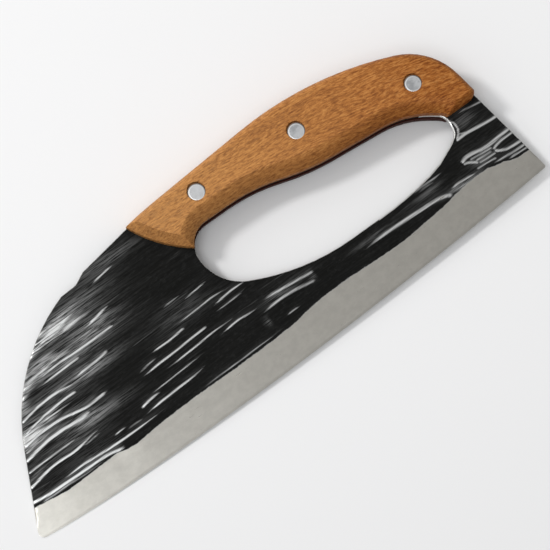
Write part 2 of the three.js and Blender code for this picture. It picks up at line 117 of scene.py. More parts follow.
class Value:
    """A shader socket that holds a number. Arithmetic on it adds Math nodes."""

    def __init__(self, graph: "Graph", socket: bpy.types.NodeSocket) -> None:
        """Wrap a socket of a graph."""
        self.graph = graph
        self.socket = socket

    def _math(self, operation: str, *terms: Number, clamp: bool = False) -> "Value":
        """Add a Math node over some terms and return its result."""
        settings = {"operation": operation, "use_clamp": clamp}
        return self.graph.value("ShaderNodeMath", settings, dict(enumerate(terms)))

    def __add__(self, other: Number) -> "Value":
        """Return self + other."""
        return self._math("ADD", self, other)

    __radd__ = __add__

    def __sub__(self, other: Number) -> "Value":
        """Return self - other."""
        return self._math("SUBTRACT", self, other)

    def __rsub__(self, other: Number) -> "Value":
        """Return other - self."""
        return self._math("SUBTRACT", other, self)

    def __mul__(self, other: Number) -> "Value":
        """Return self * other."""
        return self._math("MULTIPLY", self, other)

    __rmul__ = __mul__

    def most(self, other: Number) -> "Value":
        """Return the larger of two numbers."""
        return self._math("MAXIMUM", self, other)

    def clamped(self) -> "Value":
        """Return the number limited to 0 to 1."""
        return self._math("ADD", self, 0.0, clamp=True)

    def eased(self, low: float, high: float) -> "Value":
        """Ease from 0 to 1 between two limits.

        Args:
            low: Value where the result is 0.
            high: Value where the result is 1.

        Returns:
            The eased number.
        """
        settings = {"interpolation_type": "SMOOTHSTEP"}
        return self.graph.value("ShaderNodeMapRange", settings, {0: self, 1: low, 2: high})


class Graph:
    """The node tree of one material or world."""

    def __init__(self, owner: Union[bpy.types.Material, bpy.types.World]) -> None:
        """Start with an empty tree.

        Args:
            owner: The material or world that the tree belongs to.
        """
        owner.use_nodes = True
        self.owner = owner
        self.tree = owner.node_tree
        self.tree.nodes.clear()

    @classmethod
    def of_material(cls, name: str) -> "Graph":
        """Start the graph of a new material."""
        return cls(bpy.data.materials.new(name))

    def add(
        self,
        kind: str,
        settings: dict[str, Any] | None = None,
        inputs: dict[Union[str, int], Any] | None = None,
    ) -> bpy.types.Node:
        """Add any node.

        Args:
            kind: The node's type.
            settings: Its properties, set first. A ramp's stops are pairs of place and colour.
            inputs: Values or links for its sockets, by name or number.

        Returns:
            The new node.
        """
        node = self.tree.nodes.new(kind)
        for key, setting in (settings or {}).items():
            if key == "stops":
                self._set_stops(node.color_ramp, setting)
            else:
                setattr(node, key, setting)
        for key, given in (inputs or {}).items():
            source = given.socket if isinstance(given, Value) else given
            if isinstance(source, bpy.types.NodeSocket):
                self.tree.links.new(source, node.inputs[key])
            else:
                node.inputs[key].default_value = source
        return node

    @staticmethod
    def _set_stops(ramp: bpy.types.ColorRamp, stops: Iterable[tuple[float, Colour]]) -> None:
        """Give a colour ramp its stops.

        Args:
            ramp: The ramp.
            stops: Pairs of place and colour, in rising order.
        """
        wanted = list(stops)
        while len(ramp.elements) < len(wanted):
            ramp.elements.new(1.0)
        for element, (place, colour) in zip(ramp.elements, wanted):
            element.position = place
            element.color = colour

    def value(
        self,
        kind: str,
        settings: dict[str, Any] | None = None,
        inputs: dict[Union[str, int], Any] | None = None,
        output: Union[str, int] = 0,
    ) -> Value:
        """Add a node and return one of its outputs as a number."""
        return Value(self, self.add(kind, settings, inputs).outputs[output])

    def attribute(self, name: str) -> Value:
        """Return a number that the mesh keeps at its points."""
        return self.value("ShaderNodeAttribute", {"attribute_name": name}, output="Fac")

    def blade_place(self, frame: "BladeFrame") -> bpy.types.NodeSocket:
        """Find the place on the knife in the blade's own frame.

        Args:
            frame: The plane of the blade.

        Returns:
            The place, in millimetres.
        """
        coordinates = self.add("ShaderNodeTexCoord").outputs["Object"]
        inputs = {
            "Vector": coordinates,
            "Location": frame.origin,
            "Rotation": frame.turn.to_euler(),
            "Scale": (MILLIMETRE,) * 3,
        }
        return self.add("ShaderNodeMapping", {"vector_type": "TEXTURE"}, inputs).outputs[0]

    def stretched(
        self, place: bpy.types.NodeSocket, scale: Triple, tilt: float = 0.0
    ) -> bpy.types.NodeSocket:
        """Return a place turned in the blade's plane, then scaled along each axis."""
        inputs = {"Vector": place, "Rotation": (0.0, 0.0, math.radians(tilt)), "Scale": scale}
        return self.add("ShaderNodeMapping", {"vector_type": "POINT"}, inputs).outputs[0]

    def wandering(
        self, place: bpy.types.NodeSocket, scale: Triple, reach: float
    ) -> bpy.types.NodeSocket:
        """Push a place up and down across the blade, so that a grain on it wanders.

        Args:
            place: The place.
            scale: How often the push changes along each axis.
            reach: The furthest push.

        Returns:
            The pushed place.
        """
        inputs = {"Vector": self.stretched(place, scale), "Scale": 1.0, "Detail": 1.0}
        drift = self.add("ShaderNodeTexNoise", None, inputs).outputs["Color"]
        push = {0: drift, 1: (0.0, reach, 0.0), 2: place}
        return self.add("ShaderNodeVectorMath", {"operation": "MULTIPLY_ADD"}, push).outputs[0]

    def bowed(self, place: bpy.types.NodeSocket, start: float, bow: float) -> bpy.types.NodeSocket:
        """Lift a place more and more along the blade, so that a grain on it bows down.

        Args:
            place: The place.
            start: Where along the blade it isn't lifted.
            bow: How fast the lift grows from there.

        Returns:
            The lifted place.
        """
        ahead = self.along(place, ALONG_BLADE) - start
        lift = self.add("ShaderNodeCombineXYZ", None, {"Y": ahead * ahead * bow}).outputs[0]
        return self.add("ShaderNodeVectorMath", {"operation": "ADD"}, {0: place, 1: lift}).outputs[0]

    def along(self, place: bpy.types.NodeSocket, direction: Triple) -> Value:
        """Return how far a place lies along a direction."""
        inputs = {0: place, 1: direction}
        return self.value("ShaderNodeVectorMath", {"operation": "DOT_PRODUCT"}, inputs, "Value")

    def noise(self, place: bpy.types.NodeSocket, detail: float = 2.0, roughness: float = 0.5) -> Value:
        """Return smooth noise, about 0 to 1, with one feature to each unit of the place."""
        inputs = {"Vector": place, "Scale": 1.0, "Detail": detail, "Roughness": roughness}
        return self.value("ShaderNodeTexNoise", None, inputs)

    def mixed(self, share: Number, first: Any, second: Any) -> bpy.types.NodeSocket:
        """Return a mix of two colours: the first where share is 0, the second where it is 1."""
        inputs = {"Factor": share, 6: first, 7: second}
        return self.add("ShaderNodeMix", {"data_type": "RGBA"}, inputs).outputs[2]

    def bump(self, height: Value, strength: float, distance: float) -> bpy.types.NodeSocket:
        """Return a normal that is tilted by a height in metres times distance."""
        inputs = {"Strength": strength, "Distance": distance, "Height": height}
        return self.add("ShaderNodeBump", None, inputs).outputs[0]

    def finish(self, inputs: dict[Union[str, int], Any]) -> bpy.types.Material:
        """Close the graph with a Principled shader.

        Args:
            inputs: Values or links for the shader's sockets.

        Returns:
            The finished material.
        """
        shader = self.add("ShaderNodeBsdfPrincipled", None, inputs)
        self.add("ShaderNodeOutputMaterial", None, {"Surface": shader.outputs[0]})
        return self.owner


@dataclass(frozen=True)
class BladeFrame:
    """The plane of the blade in the row: where its own origin lies and how it is turned."""

    origin: Vector
    turn: Matrix

    @classmethod
    def from_record(cls, record: dict[str, Any], mount_place: Point = (165.0, 77.0)) -> "BladeFrame":
        """Work the plane out from the two mounts on the outer faces of the grip.

        Args:
            record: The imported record.
            mount_place: Where both mounts stand in the plane of the blade.

        Returns:
            The frame.
        """
        mounts = {mount["name"]: mount for mount in record["mounts"]}
        front, rear = mounts["front_scale_face"], mounts["rear_scale_face"]
        turn = Vector((0.0, 0.0, 1.0)).rotation_difference(Vector(front["axis"])).to_matrix()
        middle = (Vector(front["pos_m"]) + Vector(rear["pos_m"])) / 2
        return cls(middle - turn @ Vector((*mount_place, 0.0)) * MILLIMETRE, turn)

    @property
    def to_row(self) -> Matrix:
        """Matrix from the blade's millimetres to the row's metres."""
        return Matrix.Translation(self.origin) @ self.turn.to_4x4() @ Matrix.Scale(MILLIMETRE, 4)


def copy_of_node(node: bpy.types.Object, frame: BladeFrame) -> bmesh.types.BMesh:
    """Copy a node's mesh into the blade's frame, with its loose triangles joined.

    Args:
        node: The node's object.
        frame: The plane of the blade.

    Returns:
        The copy, in millimetres.
    """
    bm = bmesh.new()
    bm.from_mesh(node.data)
    bmesh.ops.transform(bm, matrix=frame.to_row.inverted(), verts=bm.verts)
    bmesh.ops.remove_doubles(bm, verts=bm.verts, dist=JOIN_DISTANCE)
    return bm


def make_piece(
    name: str,
    bm: bmesh.types.BMesh,
    frame: BladeFrame,
    material: bpy.types.Material,
    crease: float,
) -> bpy.types.Object:
    """Turn a finished bmesh into an object that rides on the knife.

    Args:
        name: The piece's name.
        bm: Its mesh in the blade's frame, which is freed.
        frame: The plane of the blade.
        material: Its finish.
        crease: Edges sharper than this angle, in degrees, stay sharp.

    Returns:
        The object, at the origin, with its place in its mesh.
    """
    bmesh.ops.transform(bm, matrix=frame.to_row, verts=bm.verts)
    mesh = bpy.data.meshes.new(name)
    bm.to_mesh(mesh)
    bm.free()
    mesh.materials.append(material)
    mesh.shade_smooth()
    mesh.set_sharp_from_angle(angle=math.radians(crease))
    piece = bpy.data.objects.new(name, mesh)
    bpy.context.scene.collection.objects.link(piece)
    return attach(piece, BODY)


def cut_across(bm: bmesh.types.BMesh, axis: int, places: Iterable[float]) -> None:
    """Cut a mesh at some places along one axis of the blade's frame.

    Args:
        bm: The mesh.
        axis: 0 for x, 1 for y.
        places: Where the cuts go, in rising order.
    """
    normal = Vector((0.0, 0.0, 0.0))
    normal[axis] = 1.0
    ahead = bm.faces[:]
    for place in places:
        edges = {edge for face in ahead for edge in face.edges}
        verts = {vert for edge in edges for vert in edge.verts}
        geom = [*verts, *edges, *ahead]
        cut = bmesh.ops.bisect_plane(bm, geom=geom, plane_co=normal * place, plane_no=normal)
        faces = [item for item in cut["geom"] if isinstance(item, bmesh.types.BMFace)]
        ahead = [face for face in faces if max(vert.co[axis] for vert in face.verts) > place + SLIVER]


@dataclass(frozen=True)
class ForgedSteel:
    """Black forge skin that is worn bare on the ridges, rubbed grey in patches that are partly painted
    sheen, and ground off along the edge.
    """

    skin: Colour = (0.0065, 0.0065, 0.006, 1.0)
    worn: Colour = (0.74, 0.74, 0.73, 1.0)
    ground: Colour = (0.518, 0.496, 0.45, 1.0)
    ground_pale: Colour = (0.575, 0.551, 0.5, 1.0)
    skin_gloss: float = 0.04
    streak_scale: Triple = (0.06, 1.3, 0.5)
    hair_scale: Triple = (0.12, 2.2, 1.0)
    fleck_scale: Triple = (0.5, 1.2, 0.5)
    brush_scale: Triple = (0.04, 9.0, 1.0)
    mottle_scale: Triple = (0.22, 0.3, 0.3)
    streak_tilt: float = -2.0
    brush_tilt: float = 2.0
    bevel_waver: float = 0.05
    rim_waver: float = 0.6
    relief_height: float = 0.00006

    def make(self, frame: BladeFrame) -> bpy.types.Material:
        """Build the material.

        Args:
            frame: The plane of the blade, which the streaks follow.

        Returns:
            The material.
        """
        graph = Graph.of_material("forged_steel")
        place = graph.blade_place(frame)
        streak = graph.noise(graph.stretched(place, self.streak_scale, self.streak_tilt), 4.0, 0.65)
        hair = graph.noise(graph.stretched(place, self.hair_scale, self.streak_tilt), 2.0, 0.6)
        fleck = graph.noise(graph.stretched(place, self.fleck_scale), 3.0, 0.6)
        brush = graph.noise(graph.stretched(place, self.brush_scale, self.brush_tilt), 2.0, 0.7)

        # The grinding stops along a wavering line, and the rims are worn in flecks.
        lift = graph.attribute("lift") + (fleck - 0.5) * self.bevel_waver
        rim = (graph.attribute("bare") + (fleck - 0.5) * self.rim_waver).eased(0.3, 1.0)
        ground = lift.eased(-0.01, 0.02).most(rim)

        # Fine lines along the blade break up the bare crests and the rubbed patches, which are partly
        # painted sheen.
        lines = (streak * 0.6 + hair * 0.4).eased(0.4, 0.61)
        ridge = (graph.attribute("ridge") * (0.65 + lines * 0.7)).eased(0.03, 0.92)
        scuffs = lines * 0.006 + fleck.eased(0.5, 0.75) * 0.012
        rub_and_sheen = graph.attribute("rub_and_sheen") * (0.02 + lines * 1.02) + scuffs
        worn = ridge.most(rub_and_sheen).clamped()
        bare = worn.most(ground)

        mottle = graph.noise(graph.stretched(place, self.mottle_scale), 4.0, 0.7)
        satin = graph.mixed(mottle.eased(0.3, 0.7), self.ground, self.ground_pale)
        steel = graph.mixed(ground - rim * 0.6, self.worn, satin)
        colour = graph.mixed(bare, self.skin, steel)
        roughness = 0.46 - ridge * 0.12 - ground * 0.17 + (streak - 0.5) * 0.08
        relief = brush * ground * 0.5 + fleck * (1.0 - ground)
        return graph.finish(
            {
                "Base Color": colour,
                "Metallic": bare,
                "Roughness": roughness,
                "Specular IOR Level": self.skin_gloss,
                "Normal": graph.bump(relief, 0.35, self.relief_height),
            }
        )


@dataclass(frozen=True)
class OiledWood:
    """Oiled hardwood with short dark pores, a grain that runs along the grip, painted shade and a painted
    highlight.
    """

    dark: Colour = (0.19, 0.047, 0.007, 1.0)
    middle: Colour = (0.4, 0.133, 0.024, 1.0)
    light: Colour = (0.58, 0.24, 0.062, 1.0)
    pore: Colour = (0.12, 0.027, 0.004, 1.0)
    painted_shade: Colour = (0.035, 0.006, 0.003, 1.0)
    painted_highlight: Colour = (0.86, 0.5, 0.19, 1.0)
    highlight_share: float = 0.32
    highlight_from: float = 120.0
    highlight_to: float = 250.0
    grain_start: float = 120.0
    grain_bow: float = 0.0008
    wander_scale: Triple = (0.03, 0.07, 0.07)
    wander_reach: float = 5.0
    cloud_scale: Triple = (0.02, 0.1, 0.1)
    band_scale: Triple = (0.03, 0.8, 0.5)
    fibre_scale: Triple = (0.35, 1.5, 1.2)
    pore_scale: Triple = (0.4, 1.6, 1.1)
    pore_depth: float = 0.38
    dry_wood_gloss: float = 0.03
    oil: float = 0.3
    oil_roughness: float = 0.42
    relief_height: float = 0.00008

    def make(self, frame: BladeFrame) -> bpy.types.Material:
        """Build the material.

        Args:
            frame: The plane of the blade, which the grain follows.

        Returns:
            The material.
        """
        graph = Graph.of_material("grip_wood")
        place = graph.blade_place(frame)
        bowed = graph.bowed(place, self.grain_start, self.grain_bow)
        wavy = graph.wandering(bowed, self.wander_scale, self.wander_reach)
        cloud = graph.noise(graph.stretched(wavy, self.cloud_scale), 2.0)
        band = graph.noise(graph.stretched(wavy, self.band_scale), 3.0, 0.6)
        fibre = graph.noise(graph.stretched(wavy, self.fibre_scale), 3.0, 0.7)
        pores = graph.noise(graph.stretched(wavy, self.pore_scale), 2.0, 0.6)
        tone = cloud * 0.2 + band * 0.3 + fibre * 0.85 - 0.175
        stops = [(0.34, self.dark), (0.5, self.middle), (0.66, self.light)]
        grain = graph.add("ShaderNodeValToRGB", {"stops": stops}, {0: tone}).outputs[0]
        open_pore = pores.eased(0.5, 0.64)
        painted_shade = graph.attribute("painted_shade")
        # Painted highlight: the wood turns paler towards the fore end, where the lamp's sheen falls.
        behind = self.highlight_to - graph.along(place, ALONG_BLADE)
        fore = behind * (1.0 / (self.highlight_to - self.highlight_from))
        colour = graph.mixed(fore.clamped() * self.highlight_share, grain, self.painted_highlight)
        colour = graph.mixed(open_pore * self.pore_depth, colour, self.pore)
        # Painted shade from the scale's layer darkens the wood.
        colour = graph.mixed(painted_shade, colour, self.painted_shade)
        relief = fibre * 0.4 - open_pore
        return graph.finish(
            {
                "Base Color": colour,
                "Roughness": 0.5 + open_pore * 0.2 - fibre * 0.12,
                "Specular IOR Level": self.dry_wood_gloss,
                "Coat Weight": (1.0 - painted_shade * 2.5).clamped() * self.oil,
                "Coat Roughness": self.oil_roughness,
                "Normal": graph.bump(relief, 0.5, self.relief_height),
            }
        )


@dataclass(frozen=True)
class RivetSteel:
    """Rivet heads that are ground flush with the wood and polished, with a painted highlight on the fore
    ones.
    """

    metal: Colour = (0.5, 0.51, 0.52, 1.0)
    pale: Colour = (0.72, 0.73, 0.74, 1.0)
    rim: Colour = (0.86, 0.86, 0.86, 1.0)
    dark_edge: Colour = (0.1, 0.07, 0.05, 1.0)
    dark_edge_share: float = 0.75
    painted_glint_share: float = 0.75
    glint_before: float = 170.0
    glint_rate: float = 0.02
    line_scale: Triple = (0.4, 7.0, 1.0)
    line_tilt: float = 35.0
    smudge_scale: Triple = (0.35, 0.35, 0.35)
    relief_height: float = 0.00003

    def make(self, frame: BladeFrame) -> bpy.types.Material:
        """Build the material.

        Args:
            frame: The plane of the blade, which the polish lines follow.

        Returns:
            The material.
        """
        graph = Graph.of_material("rivet_steel")
        place = graph.blade_place(frame)
        line = graph.noise(graph.stretched(place, self.line_scale, self.line_tilt), 2.0, 0.6)
        smudge = graph.noise(graph.stretched(place, self.smudge_scale), 2.0)
        centre = graph.mixed(smudge.eased(0.35, 0.65), self.metal, self.pale)
        # Painted highlight: heads nearer the fore end are paler, where the lamp's reflection falls.
        fore = (self.glint_before - graph.along(place, ALONG_BLADE)) * self.glint_rate
        centre = graph.mixed(fore.clamped() * self.painted_glint_share, centre, self.rim)
        ringed = graph.mixed(graph.attribute("rim"), centre, self.rim)
        # The outer edge of each head is darker.
        return graph.finish(
            {
                "Base Color": graph.mixed(graph.attribute("dark_edge") * self.dark_edge_share, ringed, self.dark_edge),
                "Metallic": 1.0,
                "Roughness": 0.3 + line * 0.16,
                "Normal": graph.bump(line, 0.3, self.relief_height),
            }
        )


@dataclass(frozen=True)
class PaleTable:
    """The plain matt table, a little darker away from the light."""

    near: Colour = (0.945, 0.94, 0.938, 1.0)
    far: Colour = (0.785, 0.78, 0.778, 1.0)
    fall: Triple = (-0.9, -1.6, 0.0)
    fall_at_origin: float = 0.5

    def make(self) -> bpy.types.Material:
        """Build the material.

        Returns:
            The material.
        """
        graph = Graph.of_material("pale_table")
        place = graph.add("ShaderNodeTexCoord").outputs["Object"]
        fall = (graph.along(place, self.fall) + self.fall_at_origin).clamped()
        colour = graph.mixed(fall * fall, self.near, self.far)
        return graph.finish({"Base Color": colour, "Roughness": 0.9, "Specular IOR Level": 0.1})


@dataclass(frozen=True)
class Ridge:
    """A crest between two rows of hammer blows: a line along the blade with its own fade at each end.

    A fade of CUT_OFF lets the crest run out at a rim, and one of up to BLUNT is kept as it is. A longer
    one grows with the crest. Widths, reaches and sides are shares of the crest's own width.
    """

    CUT_OFF: ClassVar[float] = 1.0
    BLUNT: ClassVar[float] = 1.5
    GROWTH: ClassVar[Point] = (0.3, 0.4)
    VEIL_FADE: ClassVar[float] = 6.0
    VEIL_REACH: ClassVar[float] = 2.4
    FULL_REACH: ClassVar[float] = 7.0
    POINT_WIDTH: ClassVar[float] = 0.12
    SWELL: ClassVar[float] = 0.66
    UPPER_SIDE: ClassVar[float] = 1.3
    LOWER_SIDE: ClassVar[float] = 0.75
    STEPS: ClassVar[int] = 97
    ROUNDING: ClassVar[int] = 19

    line: tuple[Point, ...]
    width: float = 0.5
    shine: float = 1.0
    fades: Point = (3.0, 3.0)

    def path(self) -> np.ndarray:
        """Walk along the line in even steps, with its corners rounded.

        Returns:
            The places of the steps, one to a row.
        """
        knots = np.array(self.line, dtype=float)
        run = np.concatenate(([0.0], np.cumsum(np.hypot(*np.diff(knots, axis=0).T))))
        even = np.linspace(0.0, run[-1], self.STEPS)
        window = np.hanning(self.ROUNDING) / np.hanning(self.ROUNDING).sum()
        beyond = {"pad_width": self.ROUNDING // 2, "mode": "reflect", "reflect_type": "odd"}
        axes = [np.pad(np.interp(even, run, axis), **beyond) for axis in knots.T]
        return np.stack([np.convolve(axis, window, "valid") for axis in axes], axis=-1)

    def tapers(self, run: np.ndarray, least: float) -> np.ndarray:
        """Return how full the ridge is at some lengths along it, from 0 to 1.

        Args:
            run: Lengths along the ridge, up to its end.
            least: Shortest fade at an end that doesn't run out at a rim.

        Returns:
            The shares.
        """
        fades = []
        for fade, growth in zip(self.fades, self.GROWTH):
            grown = fade if fade <= self.BLUNT else max(fade, growth * run[-1])
            fades.append(fade if fade == self.CUT_OFF else max(grown, least))
        return smoothstep(0.0, fades[0], run) * smoothstep(0.0, fades[1], run[-1] - run)

    def shares(self, x: np.ndarray, y: np.ndarray, spread: float) -> tuple[np.ndarray, np.ndarray]:
        """Work out how much of the ridge stands at some places.

        Args:
            x: Places along the blade.
            y: Heights on the blade.
            spread: How much wider than its own width the ridge is taken.

        Returns:
            Shares from 0 to 1 of the crest, and of the veil of worn skin above it, which is partly painted
            sheen.
        """
        path = self.path()
        low, high = path.min(axis=0), path.max(axis=0)
        reach = self.FULL_REACH * spread * self.width
        near = (x > low[0] - self.width) & (x < high[0] + self.width)
        near &= (y > low[1] - reach) & (y < high[1] + reach)
        away = np.stack([x[near], y[near]], axis=-1)[:, None, :] - path
        step = np.argmin((away**2).sum(axis=-1), axis=1)
        heading = np.gradient(path, axis=0)
        pace = np.hypot(*heading.T)
        away = away[np.arange(step.size), step]
        off = (heading[step, 0] * away[:, 1] - heading[step, 1] * away[:, 0]) / pace[step]
        run = np.concatenate(([0.0], np.cumsum(pace[1:])))
        taper, soft = self.tapers(run, 0.0)[step], self.tapers(run, self.VEIL_FADE)[step]
        width = spread * self.width * (self.POINT_WIDTH + self.SWELL * taper)
        side = width * np.where(off > 0.0, self.UPPER_SIDE, self.LOWER_SIDE)
        crest, veil = np.zeros_like(x), np.zeros_like(x)
        crest[near] = taper * np.exp(-((off / side) ** 2))
        upper = np.exp(-off / (spread * self.width * self.VEIL_REACH))
        veil[near] = soft * np.where(off > 0.0, upper, np.exp(-((off / width) ** 2)))
        return crest, veil


@dataclass(frozen=True)
class Patch:
    """A soft oval: where the forge skin is rubbed thin and partly painted sheen, or where an outline is
    pushed in.
    """

    centre: Point
    reach: Point
    amount: float

    def cover(self, x: np.ndarray, y: np.ndarray) -> np.ndarray:
        """Work out how much of the patch lies at some places.

        Args:
            x: Places along the blade.
            y: Heights on the blade.

        Returns:
            Numbers from 0 to the patch's amount.
        """
        across = (x - self.centre[0]) / self.reach[0]
        up = (y - self.centre[1]) / self.reach[1]
        return self.amount * np.exp(-(across**2 + up**2))


# Crests that catch the light, from the nose to the heel: line, width, shine and fades
RIDGES = (
    Ridge(
        ((22, 40.8), (26, 41.6), (32, 42.6), (38, 43.1), (44, 42.7), (50, 41.8), (55, 40.7)),
        0.62,
        1.0,
        (1, 3),
    ),
    Ridge(((20, 35.8), (25, 36.9), (31, 37.9), (38, 38.5), (44, 38.8), (49, 38.7)), 0.6, 0.95, (1, 1.5)),
    Ridge(
        ((17, 31.8), (26, 33.0), (33, 33.0), (39, 32.4), (44, 31.3), (48, 30.4), (53, 30.6), (59, 31.1)),
        0.7,
        1.0,
        (1, 1),
    ),
    Ridge(
        ((14, 26.4), (22, 27.8), (28, 28.6), (35, 28.7), (41, 28.0), (45, 27.8), (48, 28.5)),
        0.8,
        1.1,
        (1, 1),
    ),
    Ridge(((12, 21.9), (20, 22.3), (28, 22.4), (35, 22.5), (39, 22.1), (43, 21.2)), 0.5, 0.85, (1, 2)),
    Ridge(
        ((9, 16.2), (16, 17.6), (22, 18.6), (27, 18.7), (33, 18.1), (38, 18.9), (44, 19.9), (52, 20.6)),
        0.65,
        1.0,
        (1, 9),
    ),
    Ridge(((36, 17.6), (42, 18.3), (49, 18.9)), 0.5, 0.45, (4, 4)),
    Ridge(
        ((16, 11.2), (26, 11.6), (34, 11.8), (39, 11.3), (46, 10.8), (53, 10.6), (66, 10.6), (80, 11.3)),
        0.55,
        1.0,
        (9, 12),
    ),
    Ridge(
        ((6, 10.9), (14, 9.9), (22, 9.6), (32, 9.4), (40, 9.3), (46, 8.7), (51, 7.4)),
        0.75,
        1.0,
        (1, 1),
    ),
    Ridge(((50, 13.9), (54, 14.2), (58, 14.3)), 0.4, 0.7, (2, 2)),
    Ridge(((55, 12.9), (61, 13.0), (67, 12.7)), 0.5, 0.4),
    Ridge(((66.3, 16.5), (70, 17.3), (74, 17.7), (79, 18.0)), 0.55, 1.0, (0.8, 6)),
    Ridge(((69, 19.0), (77, 19.3), (86, 19.8), (95, 20.2), (106, 20.9)), 0.38, 0.55, (6, 4)),
    Ridge(
        ((64.5, 12.6), (68, 13.7), (75, 14.2), (92, 14.9), (97, 15.4), (99.5, 16.1), (103, 16.3)),
        0.5,
        1.0,
        (4, 5),
    ),
    Ridge(
        ((72, 27.0), (76, 27.3), (84, 27.8), (92, 28.0), (100, 28.5), (109.5, 29.0)),
        0.5,
        0.95,
        (4, 1.5),
    ),
    Ridge(((73, 29.1), (80, 30.2), (87, 31.0)), 0.6, 0.4, (3, 4)),
    Ridge(((82, 33.3), (87, 33.3), (92, 33.2), (98, 33.7), (101.5, 34.1)), 0.5, 0.95, (3, 1)),
    Ridge(
        ((82, 24.2), (90, 24.1), (97, 24.5), (110, 25.4), (118, 25.3), (127, 26.0)),
        0.45,
        0.85,
        (3, 20),
    ),
    Ridge(((50, 43.6), (57, 44.0), (63, 44.3), (69.3, 45.0)), 0.65, 1.0, (6, 1)),
    Ridge(((55, 42.3), (61, 42.5), (67, 43.0)), 0.4, 0.35),
    Ridge(
        ((34, 51.3), (40, 52.0), (46, 52.5), (52, 52.6), (57, 52.3), (66, 52.4), (78, 52.7)),
        0.6,
        1.0,
        (6, 1.5),
    ),
    Ridge(((34, 48.9), (46, 49.4), (52, 49.6), (58.5, 49.7)), 0.5, 1.0, (10, 1)),
    Ridge(((67, 58.4), (74, 59.4), (78, 60.3), (83, 61.1)), 0.65, 1.0, (4, 2)),
    Ridge(((79, 71.9), (84, 72.6), (89, 73.4), (94, 74.0)), 0.48, 0.9),
    Ridge(
        ((96, 36.9), (105, 37.1), (112, 37.5), (118, 37.9), (125, 37.3), (132, 37.0)),
        0.45,
        0.6,
        (5, 4),
    ),
    Ridge(((115, 33.9), (121, 34.9), (127, 35.4), (132, 35.4), (137, 34.8)), 0.48, 0.9),
    Ridge(((114, 31.8), (121, 31.8), (128, 32.1), (135, 33.2)), 0.45, 0.5),
    Ridge(((111, 22.4), (118, 23.1), (122, 23.4), (127, 22.9), (134, 22.9)), 0.45, 0.8),
    Ridge(((107, 43.8), (113, 44.2), (118, 44.7), (123, 45.3)), 0.42, 0.7, (4, 2)),
    Ridge(((98, 46.2), (103, 46.4), (109, 46.6)), 0.42, 0.65, (2, 3)),
    Ridge(((133, 24.3), (141, 23.7), (147, 23.0), (153, 22.4), (160, 21.6)), 0.85, 0.62, (3, 1)),
    Ridge(
        ((130, 19.3), (137, 20.0), (143, 20.1), (149, 19.6), (154, 18.8), (159.5, 18.0)),
        0.8,
        0.68,
        (2, 1),
    ),
    Ridge(((139, 12.8), (143, 13.0), (148, 13.0)), 0.45, 0.4, (2, 2)),
    Ridge(((86, 8.4), (100, 8.7), (115, 8.9), (130, 9.2), (142, 9.8)), 0.4, 0.5, (6, 5)),
    Ridge(
        ((180, 15.4), (185, 16.3), (192, 16.8), (208, 16.3), (220, 15.7), (226, 15.0), (229, 13.4)),
        0.9,
        0.8,
        (4, 1),
    ),
    Ridge(((228, 15.6), (234, 16.1), (240, 15.6), (246, 14.8)), 0.7, 0.65, (2, 3)),
    Ridge(((213, 23.6), (220, 24.2), (227, 23.8), (234, 24.6)), 0.6, 0.5, (3, 2)),
    Ridge(((216, 22.8), (222, 23.0), (228, 22.6)), 0.45, 0.35),
    Ridge(
        ((240.6, 22.0), (243, 23.3), (247, 23.0), (251, 22.0), (256, 21.8), (261, 22.3), (271, 22.9)),
        1.0,
        0.7,
        (0.8, 1),
    ),
    Ridge(((240.6, 21.6), (243, 20.8), (245.4, 19.4), (247, 18.0)), 0.8, 0.6, (0.8, 1)),
    Ridge(((244, 21.4), (250, 20.8), (256, 20.2)), 0.6, 0.5, (1, 1)),
    Ridge(((246, 19.6), (250, 19.3), (255, 19.0)), 0.6, 0.5, (1, 1)),
    Ridge(((246.5, 18.0), (250, 17.7), (256, 17.4)), 0.55, 0.5, (1, 1)),
    Ridge(((244, 16.4), (249, 16.2), (255, 15.4)), 0.55, 0.5, (1, 1)),
    Ridge(((255.4, 18.8), (257.5, 19.9), (261, 20.4), (271, 20.7)), 0.75, 0.65, (0.8, 1)),
    Ridge(((255.4, 18.6), (257.5, 17.0), (260, 16.0), (264, 15.4), (271, 15.2)), 0.75, 0.75, (0.8, 1)),
    Ridge(((244.6, 31.6), (250, 31.8), (255, 31.1), (260, 30.5), (271, 29.9)), 0.8, 0.75, (0.8, 1)),
    Ridge(((246.4, 34.0), (248.5, 32.8), (251, 32.0)), 0.5, 0.5, (1, 1)),
    Ridge(((250, 14.6), (256, 13.8), (262, 13.3), (271, 13.0)), 0.6, 0.65, (2, 1)),
    Ridge(((257, 12.0), (262, 11.8), (271, 11.3)), 0.5, 0.7, (2, 1)),
    Ridge(
        ((243, 42.2), (246.6, 40.8), (248.6, 38.6), (248.5, 35.8), (247.0, 33.4), (245, 32.0)),
        0.6,
        0.75,
        (1, 1),
    ),
    Ridge(((250, 41.0), (256, 40.6), (262, 39.6), (271, 38.6)), 0.6, 0.5, (1.6, 1)),
)

